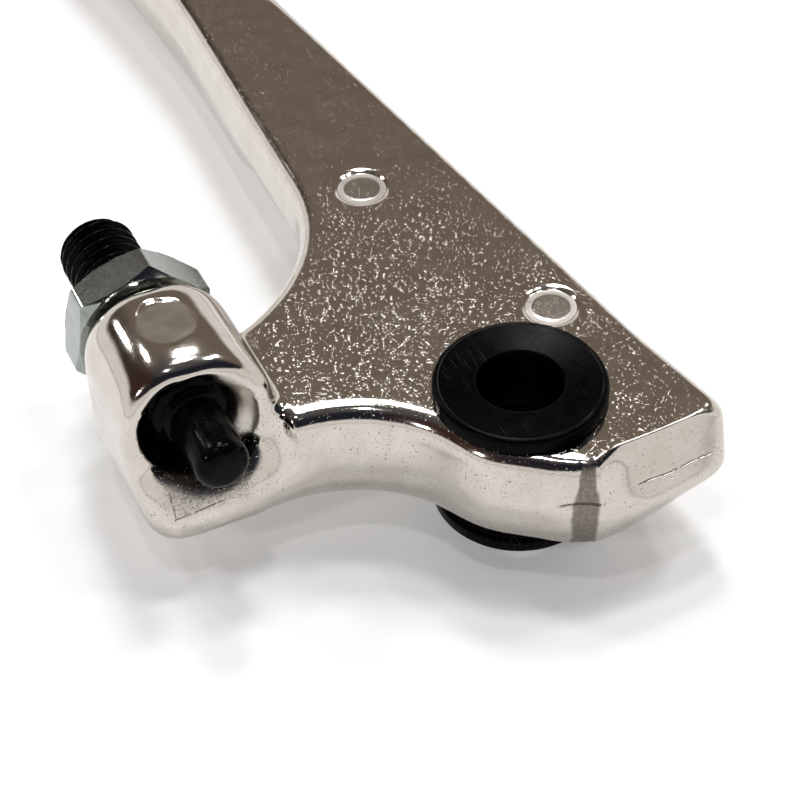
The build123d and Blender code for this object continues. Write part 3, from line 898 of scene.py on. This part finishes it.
# ---- floor, light, camera ---------------------------------------------------------------
AIM = Vector((-7.2, -6.0, 0.0)) * MM
CAMERA_DISTANCE = 146.9 * MM
CAMERA_AZIMUTH = math.radians(-24.9)
CAMERA_ELEVATION = math.radians(44.16)
CAMERA_ROLL = math.radians(-1.27)
LAMP_DISTANCE = 0.8
# name, azimuth from the camera's, angle down from straight up, size and power
LAMPS = (
    ("left_low", -122, 59, 0.06, 0.6),
    ("left_high", -125, 42, 0.07, 0.6),
    ("back", -178, 29, 0.12, 1.6),
    ("back_high", 175, 14, 0.11, 1.2),
    ("back_right", 128, 34, 0.10, 0.9),
    ("right", 118, 22, 0.08, 0.5),
    ("near", -25, 12, 0.05, 0.5),
    ("window_near", -50, 58, 0.08, 0.9),
)
ROOM_NEAR = ((0.060, 0.032, 0.024), (0.020, 0.022, 0.034))      # camera's side, left and right
ROOM_BEHIND = ((0.055, 0.036, 0.028), (0.205, 0.166, 0.133))    # beyond the part, left and right
ROOM_ABOVE = (0.09, 0.085, 0.085)
ROOM_LOW = (0.98, 0.95, 0.92)
FLOOR_HALF = 3.0
FLOOR_GAP = 0.2 * MM            # under the lowest piece


def direction(azimuth, elevation):
    return Vector((math.cos(elevation) * math.cos(azimuth),
                   math.cos(elevation) * math.sin(azimuth), math.sin(elevation)))


def floor():
    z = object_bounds()[0][2] - FLOOR_GAP
    corners = [(-1, -1), (1, -1), (1, 1), (-1, 1)]
    mesh = bpy.data.meshes.new("floor")
    mesh.from_pydata([(x * FLOOR_HALF, y * FLOOR_HALF, z) for x, y in corners], [], [(0, 1, 2, 3)])
    piece = new_object("floor", mesh)
    material = bpy.data.materials.new("floor")
    material.use_nodes = True
    shader = material.node_tree.nodes["Principled BSDF"]
    shader.inputs["Base Color"].default_value = (0.92, 0.92, 0.92, 1)
    shader.inputs["Roughness"].default_value = 0.9
    shader.inputs["Specular IOR Level"].default_value = 0.1
    shader.inputs["Emission Color"].default_value = (1, 1, 1, 1)
    shader.inputs["Emission Strength"].default_value = 0.18
    piece.data.materials.append(material)
    piece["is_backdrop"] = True


def lamp(name, azimuth, zenith, size, power):
    """Square soft lamp at an azimuth from the camera's and an angle down from straight up."""
    light = bpy.data.lights.new(name, "AREA")
    light.shape = "SQUARE"
    light.size = size
    light.energy = power
    piece = bpy.data.objects.new(name, light)
    bpy.context.scene.collection.objects.link(piece)
    way = direction(CAMERA_AZIMUTH + math.radians(azimuth), math.radians(90 - zenith))
    piece.location = AIM + way * LAMP_DISTANCE
    piece.rotation_euler = way.to_track_quat("Z", "Y").to_euler()


def world():
    """Pale near the horizon, brownish grey behind the part, dark on the camera's side."""
    scene = bpy.context.scene
    scene.world = bpy.data.worlds.new("studio")
    scene.world.use_nodes = True
    tree = scene.world.node_tree
    coordinates = tree.nodes.new("ShaderNodeTexCoord")
    way = coordinates.outputs["Generated"]

    def along(vector):
        node = tree.nodes.new("ShaderNodeVectorMath")
        node.operation = "DOT_PRODUCT"
        node.inputs[1].default_value = vector
        tree.links.new(way, node.inputs[0])
        return node.outputs["Value"]

    def step(value, low, high):
        node = tree.nodes.new("ShaderNodeMapRange")
        node.interpolation_type = "SMOOTHSTEP"
        tree.links.new(value, node.inputs["Value"])
        node.inputs["From Min"].default_value = low
        node.inputs["From Max"].default_value = high
        return node.outputs["Result"]

    def blend(factor, a, b):
        node = tree.nodes.new("ShaderNodeMix")
        node.data_type = "RGBA"
        tree.links.new(factor, node.inputs["Factor"])
        for name, value in (("A", a), ("B", b)):
            if isinstance(value, tuple):
                node.inputs[name].default_value = (*value, 1)
            else:
                tree.links.new(value, node.inputs[name])
        return node.outputs["Result"]

    up = along((0, 0, 1))
    toward_camera = along(direction(CAMERA_AZIMUTH, 0))
    to_the_right = along(direction(CAMERA_AZIMUTH + math.pi / 2, 0))
    near_side = blend(step(to_the_right, -0.60, -0.15), *ROOM_NEAR)
    behind = blend(step(to_the_right, -0.75, -0.35), *ROOM_BEHIND)
    room = blend(step(toward_camera, -0.30, 0.15), behind, near_side)
    room = blend(step(up, 0.80, 0.97), room, ROOM_ABOVE)
    sky = blend(step(up, 0.24, 0.37), ROOM_LOW, room)
    background = tree.nodes["Background"]
    tree.links.new(sky, background.inputs["Color"])
    background.inputs["Strength"].default_value = 1.0


def camera():
    data = bpy.data.cameras.new("camera")
    data.lens = 90
    data.sensor_width = 36
    data.clip_start = 0.005
    piece = bpy.data.objects.new("camera", data)
    bpy.context.scene.collection.objects.link(piece)
    back = direction(CAMERA_AZIMUTH, CAMERA_ELEVATION)
    right = Vector((0, 0, 1)).cross(back).normalized()
    up = back.cross(right)
    turn = Matrix((right, up, back)).transposed() @ Matrix.Rotation(CAMERA_ROLL, 3, "Z")
    piece.matrix_world = Matrix.Translation(AIM + back * CAMERA_DISTANCE) @ turn.to_4x4()
    bpy.context.scene.camera = piece


dress(polished_casting(), polished_alloy())
plastic = bush_plastic()
dress(bush("upper_flanged_bush", "upper_bush", 1), plastic)
dress(bush("lower_flanged_bush", "lower_bush", -1), plastic)
dress(threaded_screw(), black_oxide())
dress(zinc_nut(), zinc_plate())

floor()
for name, azimuth, zenith, size, power in LAMPS:
    lamp(name, azimuth, zenith, size, power)
world()
camera()
bpy.context.scene.view_settings.view_transform = "Standard"
